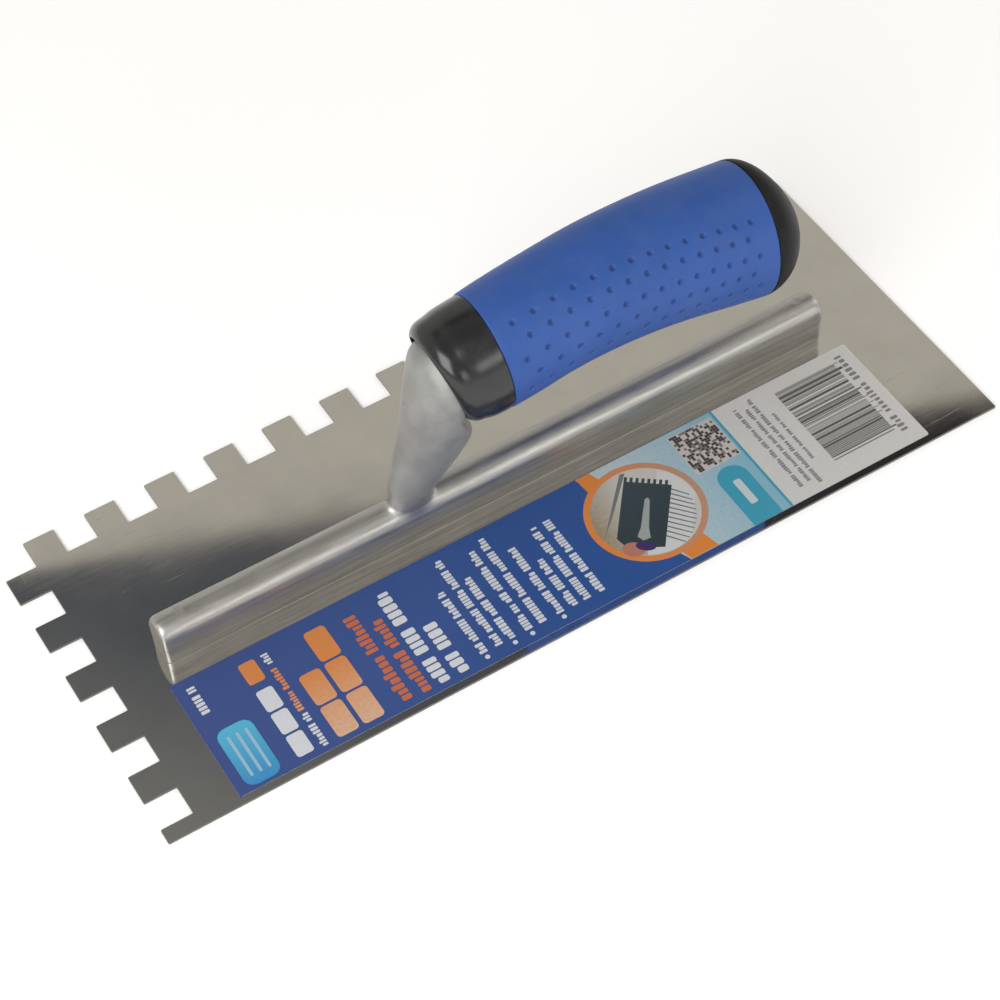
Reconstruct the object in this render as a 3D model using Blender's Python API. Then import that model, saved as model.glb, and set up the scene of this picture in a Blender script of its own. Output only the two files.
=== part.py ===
"""Notched tiling trowel with a riveted shank and a soft grip handle.

Frame: origin at the centre of the blade's underside, +X along the blade towards
the plain end, +Y towards the long notched edge, +Z up to the handle. Metres.
"""
import math

import bmesh
import bpy
from mathutils import Matrix, Vector

MM = 0.001
GAP = 0.3                    # clearance kept between touching pieces, mm

# Blade, mm
BLADE_LENGTH = 280.0
BLADE_WIDTH = 115.0
BLADE_THICK = 0.8
NOTCH = 10.0                 # square notch: this wide, this deep, this far apart

# Bar of the shank, mm
BAR_LENGTH = 227.0
BAR_WIDTH = 10.4
BAR_HEIGHT = 14.3            # above the blade's top face
BAR_END_ROUND = 1.6

# Rivets through the blade into the bar, mm
RIVET_COUNT = 7
RIVET_PITCH = 34.0
RIVET_SHANK_R = 2.0
RIVET_HEAD_R = 3.4
RIVET_DEPTH = 8.0            # how far the shank reaches into the bar

# Handle, mm: x, height of the section's middle, half height of the section
HANDLE_STATIONS = (
    (-22.0, 57.4, 17.2),
    (-10.0, 59.4, 18.3),
    (5.0, 62.0, 19.1),
    (20.0, 64.4, 19.3),
    (35.0, 65.4, 19.8),
    (50.0, 64.8, 20.4),
    (65.0, 62.9, 21.2),
    (80.0, 60.3, 21.7),
    (92.0, 59.3, 21.5),
)
HANDLE_ASPECT = 0.90         # half width over half height
GRIP_FRONT = -2.3            # grip and collar meet here, at mid height
GRIP_REAR = 84.8
GRIP_WALL = 3.2
FRONT_LEAN = -0.10           # x per z of the joint between collar and grip
REAR_LEAN = 0.05             # x per z of the joint between grip and end cap
COLLAR_FRONT = -17.4
COLLAR_LEAN = -0.27          # x per z of the collar's front face
CAP_LENGTH = 17.0
CAP_TAPER = 1.4              # how fast the cap closes towards its tip
CAP_LEAN = -0.12             # x per z of the cap's tip
CAP_DROP = 1.0               # the tip sits this much below the handle's middle
TANG_END = 62.0
NECK_TOP_LENGTH = 13.8       # half length of the neck where the collar takes it
NECK_TOP_WIDTH = 12.3        # half width there
COLLAR_SHOULDER = ((0.0, 2.7), (0.03, 1.6), (0.09, 0.8), (0.2, 0.15),
                   (0.4, 0.0), (0.65, 0.2), (0.95, 0.0))   # share of its length, inset

# Label stuck on the blade between the bar and the plain long edge, mm
LABEL_LENGTH = 233.5
LABEL_WIDTH = 43.2
LABEL_MIDDLE_Y = -33.6
LABEL_THICK = 0.15
LABEL_GAP = 0.15

RING = 40                    # points round a handle section


def clear_scene():
    for obj in list(bpy.data.objects):
        bpy.data.objects.remove(obj, do_unlink=True)


def material(name, colour, roughness, metallic=0.0):
    mat = bpy.data.materials.new(name)
    mat.use_nodes = True
    shader = mat.node_tree.nodes["Principled BSDF"]
    shader.inputs["Base Color"].default_value = (*colour, 1.0)
    shader.inputs["Roughness"].default_value = roughness
    shader.inputs["Metallic"].default_value = metallic
    mat.diffuse_color = (*colour, 1.0)
    return mat


def add_object(name, bm, mat=None, smooth_angle=None):
    """Turn a bmesh drawn in millimetres into a named object in metres."""
    bmesh.ops.scale(bm, vec=(MM, MM, MM), verts=bm.verts)
    bmesh.ops.recalc_face_normals(bm, faces=bm.faces)
    mesh = bpy.data.meshes.new(name)
    bm.to_mesh(mesh)
    bm.free()
    obj = bpy.data.objects.new(name, mesh)
    bpy.context.scene.collection.objects.link(obj)
    if mat:
        mesh.materials.append(mat)
    if smooth_angle:
        mesh.shade_smooth()
        mesh.set_sharp_from_angle(angle=math.radians(smooth_angle))
    return obj


def add_cutter(name, bm):
    cutter = add_object(name, bm)
    cutter.hide_render = True
    cutter.display_type = "WIRE"
    return cutter


def boolean(obj, other, operation):
    mod = obj.modifiers.new(operation.lower(), "BOOLEAN")
    mod.operation = operation
    mod.solver = "EXACT"
    mod.object = other


def prism(bm, outline, z_low, z_high):
    """Extrude a closed XY outline from z_low to z_high."""
    base = bm.faces.new([bm.verts.new((x, y, z_low)) for x, y in outline])
    grown = bmesh.ops.extrude_face_region(bm, geom=[base])
    top = [v for v in grown["geom"] if isinstance(v, bmesh.types.BMVert)]
    bmesh.ops.translate(bm, vec=(0, 0, z_high - z_low), verts=top)


def loft(bm, rings, closed=False):
    """Skin equal rings of points; closed joins the last ring to the first."""
    rows = [[bm.verts.new(p) for p in ring] for ring in rings]
    count = len(rows[0])
    pairs = list(zip(rows, rows[1:]))
    if closed:
        pairs.append((rows[-1], rows[0]))
    else:
        bm.faces.new(rows[0])
        bm.faces.new(rows[-1])
    for low, high in pairs:
        for i in range(count):
            j = (i + 1) % count
            bm.faces.new((low[i], low[j], high[j], high[i]))


def turned(bm, profile, centre, segments):
    """Turn (radius, z) points round a vertical axis and cap both ends."""
    rings = []
    for radius, z in profile:
        ring = []
        for i in range(segments):
            turn = 2 * math.pi * i / segments
            ring.append(Vector((centre[0] + radius * math.cos(turn),
                                centre[1] + radius * math.sin(turn), z)))
        rings.append(ring)
    loft(bm, rings)


def hermite(stations, x, column):
    """Smooth curve through one column of the handle's stations."""
    last = len(stations) - 1
    k = 0
    while k < last - 1 and x > stations[k + 1][0]:
        k += 1

    def slope(i):
        low, high = max(i - 1, 0), min(i + 1, last)
        rise = stations[high][column] - stations[low][column]
        return rise / (stations[high][0] - stations[low][0])

    x0, x1 = stations[k][0], stations[k + 1][0]
    y0, y1 = stations[k][column], stations[k + 1][column]
    span = x1 - x0
    t = (x - x0) / span
    return ((2 * t**3 - 3 * t**2 + 1) * y0 + (t**3 - 2 * t**2 + t) * span * slope(k)
            + (3 * t**2 - 2 * t**3) * y1 + (t**3 - t**2) * span * slope(k + 1))


def oval(x, z, half_width, half_height, lean=0.0, count=RING):
    """Oval ring across the handle; lean moves its upper side along x."""
    ring = []
    for i in range(count):
        turn = 2 * math.pi * i / count
        up = half_height * math.sin(turn)
        ring.append(Vector((x + lean * up, half_width * math.cos(turn), z + up)))
    return ring


def handle_ring(x, inset=0.0, lean=0.0):
    """Section of the handle at x, pulled in by inset."""
    z = hermite(HANDLE_STATIONS, x, 1)
    half = hermite(HANDLE_STATIONS, x, 2)
    return oval(x, z, HANDLE_ASPECT * half - inset, half - inset, lean)


def spread(start, end, steps):
    return [start + (end - start) * i / steps for i in range(steps + 1)]


def rivet_places():
    first = -RIVET_PITCH * (RIVET_COUNT - 1) / 2
    return [first + RIVET_PITCH * i for i in range(RIVET_COUNT)]


# ---------------------------------------------------------------- blade
def blade_outline():
    """Outline of the blade: square notches on one long and one short edge."""
    half_x, half_y = BLADE_LENGTH / 2, BLADE_WIDTH / 2
    points = [(half_x, -half_y), (half_x, half_y)]
    for i in range(int(BLADE_LENGTH // (2 * NOTCH))):
        tooth_left = half_x - NOTCH - 2 * NOTCH * i
        points += [(tooth_left, half_y), (tooth_left, half_y - NOTCH),
                   (tooth_left - NOTCH, half_y - NOTCH)]
        if i < BLADE_LENGTH // (2 * NOTCH) - 1:
            points.append((tooth_left - NOTCH, half_y))
    y = half_y - NOTCH
    points[-1] = (-half_x, y)
    while y - 2 * NOTCH > -half_y:
        points += [(-half_x, y - NOTCH), (-half_x + NOTCH, y - NOTCH),
                   (-half_x + NOTCH, y - 2 * NOTCH), (-half_x, y - 2 * NOTCH)]
        y -= 2 * NOTCH
    points.append((-half_x, -half_y))
    return points


def make_blade():
    bm = bmesh.new()
    prism(bm, blade_outline(), 0.0, BLADE_THICK)
    steel = material("stainless_steel", (0.52, 0.50, 0.46), 0.16, 1.0)
    blade = add_object("blade", bm, steel)
    holes = bmesh.new()
    over = 0.5
    slope = (RIVET_HEAD_R - RIVET_SHANK_R) / (2 * BLADE_THICK)
    low_r = RIVET_HEAD_R + GAP + slope * over
    high_r = RIVET_HEAD_R + GAP - slope * (BLADE_THICK + over)
    for x in rivet_places():
        profile = ((low_r, -over), (high_r, BLADE_THICK + over))
        turned(holes, profile, (x, 0.0), 16)
    boolean(blade, add_cutter("rivet_hole_cutter", holes), "DIFFERENCE")


# ---------------------------------------------------------------- shank
def bar_profile():
    """(y, z) outline of the bar: flat base, straight sides, half-round top."""
    radius = BAR_WIDTH / 2
    base = BLADE_THICK + GAP
    middle = BLADE_THICK + BAR_HEIGHT - radius
    steps = 12
    arc = [(radius * math.cos(math.pi * i / steps), middle + radius * math.sin(math.pi * i / steps))
           for i in range(steps + 1)]
    return [(radius, base)] + arc + [(-radius, base)]


def make_bar(bm):
    half = BAR_LENGTH / 2
    profile = bar_profile()
    loft(bm, [[Vector((x, y, z)) for y, z in profile] for x in (-half, half)])
    base = BLADE_THICK + GAP
    rim = []
    for edge in bm.edges:
        a, b = (v.co for v in edge.verts)
        same_end = abs(a.x - b.x) < 1e-6
        on_base = a.z < base + 1e-6 and b.z < base + 1e-6
        if same_end and not on_base:
            rim.append(edge)
    bmesh.ops.bevel(bm, geom=rim, offset=BAR_END_ROUND, segments=3, profile=0.5,
                    affect="EDGES", clamp_overlap=True)


# Neck and tang: x and z of the section's middle, tilt of the section in degrees
# (0 lies flat, 90 stands across the handle), half length and half width, mm.
NECK_STATIONS = (
    (-30.5, 9.0, 0.0, 6.6, 4.6),
    (-30.0, 16.0, 4.0, 7.0, 4.9),
    (-27.8, 21.5, 9.0, 8.6, 5.6),
    (-24.4, 28.0, 14.0, 10.0, 6.8),
    (-20.9, 35.5, 22.0, 11.1, 8.4),
    (-18.8, 44.5, 39.0, 12.5, 10.3),
    (-18.9, 53.4, 64.0, 12.9, 11.8),
    (-17.3, 57.8, 75.0, NECK_TOP_LENGTH, NECK_TOP_WIDTH - 0.1),
    (-11.0, 59.1, 84.0, NECK_TOP_LENGTH, NECK_TOP_WIDTH),
)
TANG_STATIONS = (
    (-7.4, 59.9, 88.0, NECK_TOP_LENGTH - 0.2, NECK_TOP_WIDTH - 0.1),
    (-7.1, 60.1, 88.0, 8.2, 7.4),
    (20.0, 64.2, 90.0, 6.8, 6.4),
    (TANG_END, 64.0, 90.0, 5.2, 5.0),
)
NECK_RING = 28


def tilted_ring(station):
    """Oval ring whose long axis is tilted in the XZ plane."""
    x, z, tilt, half_length, half_width = station
    along = Vector((-math.cos(math.radians(tilt)), 0, math.sin(math.radians(tilt))))
    ring = []
    for i in range(NECK_RING):
        turn = 2 * math.pi * i / NECK_RING
        middle = Vector((x, half_width * math.sin(turn), z))
        ring.append(middle + along * (half_length * math.cos(turn)))
    return ring


def catmull(stations, per_span):
    """Stations blended smoothly, per_span steps between neighbours."""
    out = []
    last = len(stations) - 1
    for k in range(last):
        p0, p1 = stations[max(k - 1, 0)], stations[k]
        p2, p3 = stations[k + 1], stations[min(k + 2, last)]
        for step in range(per_span):
            t = step / per_span
            out.append([0.5 * (2 * b + (c - a) * t + (2 * a - 5 * b + 4 * c - d) * t**2
                               + (3 * b - a - 3 * c + d) * t**3)
                        for a, b, c, d in zip(p0, p1, p2, p3)])
    out.append(list(stations[-1]))
    return out


def make_shank():
    alloy = material("cast_aluminium", (0.55, 0.55, 0.54), 0.38, 1.0)
    bar = bmesh.new()
    make_bar(bar)
    shank = add_object("shank", bar, alloy, smooth_angle=35)
    neck = bmesh.new()
    stations = catmull(NECK_STATIONS, 2) + list(TANG_STATIONS)
    loft(neck, [tilted_ring(s) for s in stations])
    boolean(shank, add_cutter("neck_and_tang", neck), "UNION")
    sockets = bmesh.new()
    depth = BLADE_THICK + RIVET_DEPTH + GAP
    for x in rivet_places():
        turned(sockets, ((RIVET_SHANK_R + GAP, 0.0), (RIVET_SHANK_R + GAP, depth)), (x, 0.0), 14)
    boolean(shank, add_cutter("rivet_socket_cutter", sockets), "DIFFERENCE")


# ---------------------------------------------------------------- rivets
def make_rivets():
    alloy = material("rivet_aluminium", (0.62, 0.62, 0.61), 0.3, 1.0)
    slope = (RIVET_HEAD_R - RIVET_SHANK_R) / (2 * BLADE_THICK)
    shoulder = RIVET_HEAD_R - slope * BLADE_THICK
    edge, point = 0.1, 0.5   # chamfers of the head's rim and the shank's end
    tip = BLADE_THICK + RIVET_DEPTH
    profile = ((RIVET_HEAD_R - edge, 0.0), (RIVET_HEAD_R, edge), (shoulder, BLADE_THICK),
               (RIVET_SHANK_R, BLADE_THICK + edge), (RIVET_SHANK_R, tip - point),
               (RIVET_SHANK_R - point, tip))
    for number, x in enumerate(rivet_places(), start=1):
        bm = bmesh.new()
        turned(bm, profile, (x, 0.0), 16)
        add_object(f"rivet_{number}", bm, alloy, smooth_angle=40)


# ---------------------------------------------------------------- handle
def make_front_collar():
    """Glossy ferrule round the top of the neck."""
    rear = GRIP_FRONT - GAP
    length = rear - COLLAR_FRONT
    rings = []
    for along, inset in COLLAR_SHOULDER:
        lean = COLLAR_LEAN + (FRONT_LEAN - COLLAR_LEAN) * along
        rings.append(handle_ring(COLLAR_FRONT + length * along, inset, lean))
    rings.append(handle_ring(rear, 0.25, FRONT_LEAN))
    bore_width, bore_height = NECK_TOP_WIDTH + 1.6 * GAP, NECK_TOP_LENGTH + 2 * GAP
    for x, z, lean in ((rear, 60.3, FRONT_LEAN), (COLLAR_FRONT, 57.9, COLLAR_LEAN)):
        rings.append(oval(x, z, bore_width, bore_height, lean))
    bm = bmesh.new()
    loft(bm, rings, closed=True)
    gloss = material("gloss_black_plastic", (0.012, 0.012, 0.013), 0.12)
    add_object("front_collar", bm, gloss, smooth_angle=50)


def make_soft_grip():
    """Rubber sleeve over the core."""
    xs = spread(GRIP_FRONT, GRIP_REAR, 16)
    quarter = (GRIP_REAR - GRIP_FRONT) / 4

    def lean(x):
        front = FRONT_LEAN * max(0.0, 1 - (x - GRIP_FRONT) / quarter)
        return front + REAR_LEAN * max(0.0, 1 - (GRIP_REAR - x) / quarter)

    outer = [handle_ring(x, 0.0, lean(x)) for x in xs]
    inner = [handle_ring(x, GRIP_WALL, lean(x)) for x in reversed(xs[::2])]
    bm = bmesh.new()
    loft(bm, outer + inner, closed=True)
    rubber = material("blue_soft_rubber", (0.045, 0.115, 0.42), 0.5)
    add_object("soft_grip", bm, rubber, smooth_angle=50)


SPIGOT_HALF = 9.0            # half height of the end cap's plug
SPIGOT_LENGTH = 9.0
BORE_CLEARANCE = 0.5         # round the tang in the core
BORE_MOUTH = (8.2, 9.5)      # half width and half height of the core's mouth


def make_handle_core():
    """Hard core inside the grip: takes the tang in front, the cap's plug behind."""
    inset = GRIP_WALL + GAP
    front, rear = GRIP_FRONT + 0.4, GRIP_REAR - 0.2
    z_front = hermite(HANDLE_STATIONS, front, 1)
    z_rear = hermite(HANDLE_STATIONS, rear, 1)
    rings = []
    for x, z, _, half_length, half_width in reversed(TANG_STATIONS[2:]):
        deep = x + BORE_CLEARANCE if x == TANG_END else x
        rings.append(oval(deep, z, half_width + BORE_CLEARANCE, half_length + BORE_CLEARANCE))
    rings.append(oval(front, z_front, *BORE_MOUTH, FRONT_LEAN))
    rings.append(handle_ring(front, inset, FRONT_LEAN))
    rings += [handle_ring(x, inset) for x in spread(front + 10, rear - 10, 7)]
    rings.append(handle_ring(rear, inset, REAR_LEAN))
    hole = SPIGOT_HALF + GAP
    rings.append(oval(rear, z_rear, HANDLE_ASPECT * hole, hole, REAR_LEAN))
    rings.append(oval(rear - SPIGOT_LENGTH - GAP, z_rear, HANDLE_ASPECT * hole, hole))
    bm = bmesh.new()
    loft(bm, rings)
    core = material("black_core_plastic", (0.02, 0.02, 0.022), 0.45)
    add_object("handle_core", bm, core, smooth_angle=50)


def make_end_cap():
    """Rounded cap that closes the handle, with a plug pressed into the core."""
    start = GRIP_REAR + GAP
    z_start = hermite(HANDLE_STATIONS, start, 1)
    plug_w = HANDLE_ASPECT * SPIGOT_HALF
    rings = [oval(start - SPIGOT_LENGTH - GAP, z_start, plug_w - 1, SPIGOT_HALF - 1),
             oval(start - SPIGOT_LENGTH + 1, z_start, plug_w, SPIGOT_HALF),
             oval(start, z_start, plug_w, SPIGOT_HALF, REAR_LEAN),
             handle_ring(start, 0.1, REAR_LEAN)]
    half = hermite(HANDLE_STATIONS, start, 2)
    for turn in (7, 16, 26, 36, 46, 56, 66, 76, 84):
        reach = math.sin(math.radians(turn))
        close = math.cos(math.radians(turn)) ** CAP_TAPER
        lean = REAR_LEAN + (CAP_LEAN - REAR_LEAN) * reach
        rings.append(oval(start + CAP_LENGTH * reach, z_start - CAP_DROP * reach,
                          HANDLE_ASPECT * half * close, half * close, lean))
    bm = bmesh.new()
    loft(bm, rings)
    cap = material("black_cap_plastic", (0.016, 0.016, 0.017), 0.28)
    add_object("end_cap", bm, cap, smooth_angle=50)


# ---------------------------------------------------------------- label
def make_label():
    half_x, half_y = LABEL_LENGTH / 2, LABEL_WIDTH / 2
    outline = [(sx * half_x, LABEL_MIDDLE_Y + sy * half_y)
               for sx, sy in ((-1, -1), (1, -1), (1, 1), (-1, 1))]
    low = BLADE_THICK + LABEL_GAP
    bm = bmesh.new()
    prism(bm, outline, low, low + LABEL_THICK)
    add_object("label", bm, material("printed_label", (0.03, 0.07, 0.24), 0.4))


def main():
    clear_scene()
    make_blade()
    make_shank()
    make_rivets()
    make_front_collar()
    make_soft_grip()
    make_handle_core()
    make_end_cap()
    make_label()


main()
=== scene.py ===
"""Notched tiling trowel: the looks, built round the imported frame.

Lengths are millimetres in the row frame until add_mesh() turns them into metres.
"""
import math
import random

import bmesh
import bpy
import numpy as np
from mathutils import Matrix, Vector, noise
from mathutils.bvhtree import BVHTree


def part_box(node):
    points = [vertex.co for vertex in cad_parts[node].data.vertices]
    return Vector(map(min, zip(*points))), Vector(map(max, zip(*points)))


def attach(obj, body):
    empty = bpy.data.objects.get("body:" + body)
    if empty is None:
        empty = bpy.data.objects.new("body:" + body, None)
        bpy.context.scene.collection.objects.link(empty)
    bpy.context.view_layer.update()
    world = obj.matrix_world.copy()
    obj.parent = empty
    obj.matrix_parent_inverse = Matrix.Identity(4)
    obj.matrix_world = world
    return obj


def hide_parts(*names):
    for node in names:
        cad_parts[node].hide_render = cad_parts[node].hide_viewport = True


MM = 0.001
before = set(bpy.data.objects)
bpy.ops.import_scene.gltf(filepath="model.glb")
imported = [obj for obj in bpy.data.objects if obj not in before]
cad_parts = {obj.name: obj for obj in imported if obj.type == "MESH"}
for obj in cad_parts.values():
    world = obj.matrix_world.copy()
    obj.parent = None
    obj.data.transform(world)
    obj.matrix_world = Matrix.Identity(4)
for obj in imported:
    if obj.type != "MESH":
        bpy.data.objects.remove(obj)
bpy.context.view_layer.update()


# ------------------------------------------------------------------ sizes taken from the frame
def box_mm(node):
    low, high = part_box(node)
    return np.array(low) / MM, np.array(high) / MM


class Handle:
    """Sections of the handle, read off the CAD pieces by casting rays at them."""

    STEP = 7.0

    def __init__(self):
        self.collar = self.tree("front_collar")
        trees = [self.collar, self.tree("soft_grip")]
        rows = []
        for x in np.arange(box_mm("front_collar")[0][0] + 9.0, GRIP_REAR - 1.0, self.STEP):
            top = self.cast(trees, (x, 0.0, 120.0), (0, 0, -1)).z
            bottom = self.cast(trees, (x, 0.0, 20.0), (0, 0, 1)).z
            middle = (top + bottom) / 2
            side = self.cast(trees, (x, -60.0, middle), (0, 1, 0)).y
            rows.append((x, middle, (top - bottom) / 2, -side))
        self.rows = np.array(rows)

    @staticmethod
    def tree(name):
        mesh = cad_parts[name].data
        corners = [v.co / MM for v in mesh.vertices]
        return BVHTree.FromPolygons(corners, [tuple(p.vertices) for p in mesh.polygons])

    @staticmethod
    def cast(trees, start, direction):
        hits = [tree.ray_cast(Vector(start), Vector(direction)) for tree in trees]
        hits = [hit for hit in hits if hit[0] is not None]
        return min(hits, key=lambda hit: hit[3])[0]

    def bore(self):
        """Height of the middle, half height and half width of the collar's bore."""
        middle = Vector((-11.0, 0.0, 58.0))          # a place well inside the bore
        top = self.cast([self.collar], middle, (0, 0, 1)).z
        bottom = self.cast([self.collar], middle, (0, 0, -1)).z
        side = self.cast([self.collar], middle, (0, -1, 0)).y
        return (top + bottom) / 2, (top - bottom) / 2, -side

    def at(self, x):
        """Height of the middle, half height and half width at x, smooth between sections."""
        rows = self.rows
        k = int(np.clip(np.searchsorted(rows[:, 0], x) - 1, 0, len(rows) - 2))
        before, after = max(k - 1, 0), min(k + 2, len(rows) - 1)
        span = rows[k + 1, 0] - rows[k, 0]
        t = (x - rows[k, 0]) / span
        slope_a = (rows[k + 1] - rows[before]) / (rows[k + 1, 0] - rows[before, 0])
        slope_b = (rows[after] - rows[k]) / (rows[after, 0] - rows[k, 0])
        if not 0 <= t <= 1:
            near, slope = (rows[k], slope_a) if t < 0 else (rows[k + 1], slope_b)
            return (near + slope * (x - near[0]))[1:]
        return ((2 * t**3 - 3 * t**2 + 1) * rows[k] + (t**3 - 2 * t**2 + t) * span * slope_a
                + (3 * t**2 - 2 * t**3) * rows[k + 1]
                + (t**3 - t**2) * span * slope_b)[1:]


# ------------------------------------------------------------------ mesh helpers
def add_mesh(name, points, faces, mat, smooth_angle=None):
    """A named object from points in millimetres."""
    mesh = bpy.data.meshes.new(name)
    mesh.from_pydata([tuple(p) for p in np.asarray(points, float) * MM], [], faces)
    return finish_mesh(name, mesh, mat, smooth_angle)


def add_bmesh(name, bm, mat, smooth_angle=None):
    bmesh.ops.scale(bm, vec=(MM, MM, MM), verts=bm.verts)
    bmesh.ops.recalc_face_normals(bm, faces=bm.faces)
    mesh = bpy.data.meshes.new(name)
    bm.to_mesh(mesh)
    bm.free()
    return finish_mesh(name, mesh, mat, smooth_angle)


def finish_mesh(name, mesh, mat, smooth_angle):
    mesh.materials.append(mat)
    if smooth_angle:
        mesh.shade_smooth()
        mesh.set_sharp_from_angle(angle=math.radians(smooth_angle))
    obj = bpy.data.objects.new(name, mesh)
    bpy.context.scene.collection.objects.link(obj)
    return obj


def place(obj, slot, *nodes):
    """Ride on the one body and stand for CAD nodes; slot is not used."""
    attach(obj, "root")
    if nodes:
        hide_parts(*nodes)
    return obj


def loft_faces(rows, columns, closed=False):
    """Quads between rings of points. When closed, the last ring meets the first; when not,
    each end gets a cap."""
    faces = []
    for r in range(rows if closed else rows - 1):
        low, high = r * columns, ((r + 1) % rows) * columns
        for c in range(columns):
            d = (c + 1) % columns
            faces.append((low + c, low + d, high + d, high + c))
    if not closed:
        faces.append(tuple(reversed(range(columns))))
        faces.append(tuple((rows - 1) * columns + c for c in range(columns)))
    return faces


def face_outwards(obj):
    bm = bmesh.new()
    bm.from_mesh(obj.data)
    bmesh.ops.recalc_face_normals(bm, faces=bm.faces)
    bm.to_mesh(obj.data)
    bm.free()


def smooth_step(low, high, value):
    t = np.clip((value - low) / (high - low), 0.0, 1.0)
    return t * t * (3 - 2 * t)


def noise_at(points, scale, seed=0.0):
    """Smooth noise between -1 and 1 at each point; scale is cycles per millimetre."""
    shift = Vector((seed, seed * 1.7, -seed))
    return np.array([noise.noise(Vector(p) * scale + shift) for p in points])


def add_float(obj, name, values):
    """A number per point, for a material to read."""
    layer = obj.data.attributes.new(name, "FLOAT", "POINT")
    layer.data.foreach_set("value", np.asarray(values, np.float32))


# ------------------------------------------------------------------ material helpers
class Paint:
    """A Principled material and the nodes that feed it."""

    def __init__(self, name, colour=None, **shader):
        self.mat = bpy.data.materials.new(name)
        self.mat.use_nodes = True
        self.tree = self.mat.node_tree
        self.shader = self.tree.nodes["Principled BSDF"]
        if colour:
            self.shader.inputs["Base Color"].default_value = (*colour, 1.0)
            self.mat.diffuse_color = (*colour, 1.0)
        for key, value in shader.items():
            self.shader.inputs[key.replace("_", " ")].default_value = value
        self.place = self.node("TexCoord").outputs["Object"]

    def node(self, kind, inputs=None, **settings):
        made = self.tree.nodes.new("ShaderNode" + kind)
        for key, value in settings.items():
            setattr(made, key, value)
        for key, value in (inputs or {}).items():
            self.feed(made.inputs[key], value)
        return made

    def feed(self, socket, value):
        if isinstance(value, bpy.types.NodeSocket):
            self.tree.links.new(value, socket)
        else:
            socket.default_value = value

    def set(self, name, value):
        self.feed(self.shader.inputs[name], value)

    def stretched(self, x=1.0, y=1.0, z=1.0):
        """Object coordinates, scaled along each axis."""
        made = self.node("Mapping", {"Vector": self.place})
        made.inputs["Scale"].default_value = (x, y, z)
        return made.outputs["Vector"]

    def noise(self, per_mm, detail=2.0, rough=0.5, where=None):
        inputs = {"Vector": where or self.place, "Scale": per_mm / MM, "Detail": detail,
                  "Roughness": rough}
        return self.node("TexNoise", inputs).outputs["Fac"]

    def band(self, value, low, high, to_low=0.0, to_high=1.0):
        """Value between low and high becomes to_low to to_high, held outside."""
        inputs = {"Value": value, "From Min": low, "From Max": high,
                  "To Min": to_low, "To Max": to_high}
        return self.node("MapRange", inputs).outputs["Result"]

    def math(self, operation, a, b):
        return self.node("Math", {0: a, 1: b}, operation=operation).outputs[0]

    def mix(self, share, a, b):
        """Colour a to colour b by share."""
        made = self.node("Mix", data_type="RGBA")
        colours = [c if isinstance(c, bpy.types.NodeSocket) else (*c, 1.0) for c in (a, b)]
        self.feed(made.inputs[0], share)
        self.feed(made.inputs[6], colours[0])
        self.feed(made.inputs[7], colours[1])
        return made.outputs[2]

    def axis(self, name):
        """One object coordinate in metres."""
        split = self.node("SeparateXYZ", {"Vector": self.place})
        return split.outputs[name]

    def bump(self, height, depth, strength=1.0, after=None):
        """Surface relief depth millimetres deep; after is a bump to add it to."""
        inputs = {"Height": height, "Distance": depth * MM, "Strength": strength}
        if after:
            inputs["Normal"] = after
        return self.node("Bump", inputs).outputs["Normal"]


# ------------------------------------------------------------------ materials
def steel_paint():
    """Rolled stainless sheet: near mirror, faint grain, smears and hairline scratches."""
    p = Paint("stainless_sheet", (0.60, 0.585, 0.55), Metallic=1.0)
    grain = p.noise(1.6, 3.0, 0.6, p.stretched(0.06, 1.0, 1.0))
    smear = p.noise(0.018, 3.0, 0.55)
    fingers = p.noise(0.07, 4.0, 0.6)
    cloud = p.band(smear, 0.38, 0.66)
    colour = p.mix(p.band(fingers, 0.35, 0.7), (0.615, 0.60, 0.565), (0.575, 0.56, 0.525))
    # painted shade: faces that do not face up, the cut edges and their rounding, get a dark colour for the
    # dark rim along the edges; their extra roughness is the cut edge's own
    edge = p.node("SeparateXYZ", {"Vector": p.node("NewGeometry").outputs["True Normal"]}).outputs["Z"]
    edge = p.band(p.math("ABSOLUTE", edge, 0.0), 0.35, 0.8, 1.0, 0.0)
    p.set("Base Color", p.mix(edge, colour, (0.20, 0.195, 0.19)))
    rough = p.math("ADD", p.band(cloud, 0.0, 1.0, 0.04, 0.08), p.band(grain, 0.3, 0.7, 0.0, 0.02))
    p.set("Roughness", p.math("ADD", rough, p.math("MULTIPLY", edge, 0.3)))
    scratch = p.noise(0.9, 4.0, 0.75, p.stretched(0.035, 0.9, 1.0))
    across = p.noise(0.5, 3.0, 0.7, p.stretched(1.0, 0.05, 1.0))
    lines = p.math("ADD", p.band(scratch, 0.66, 0.72), p.band(across, 0.70, 0.76))
    relief = p.bump(lines, 0.004, 0.5)
    relief = p.bump(grain, 0.0012, 0.5, relief)
    relief = p.bump(smear, 0.02, 0.5, relief)
    p.set("Normal", relief)
    return p.mat


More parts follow.
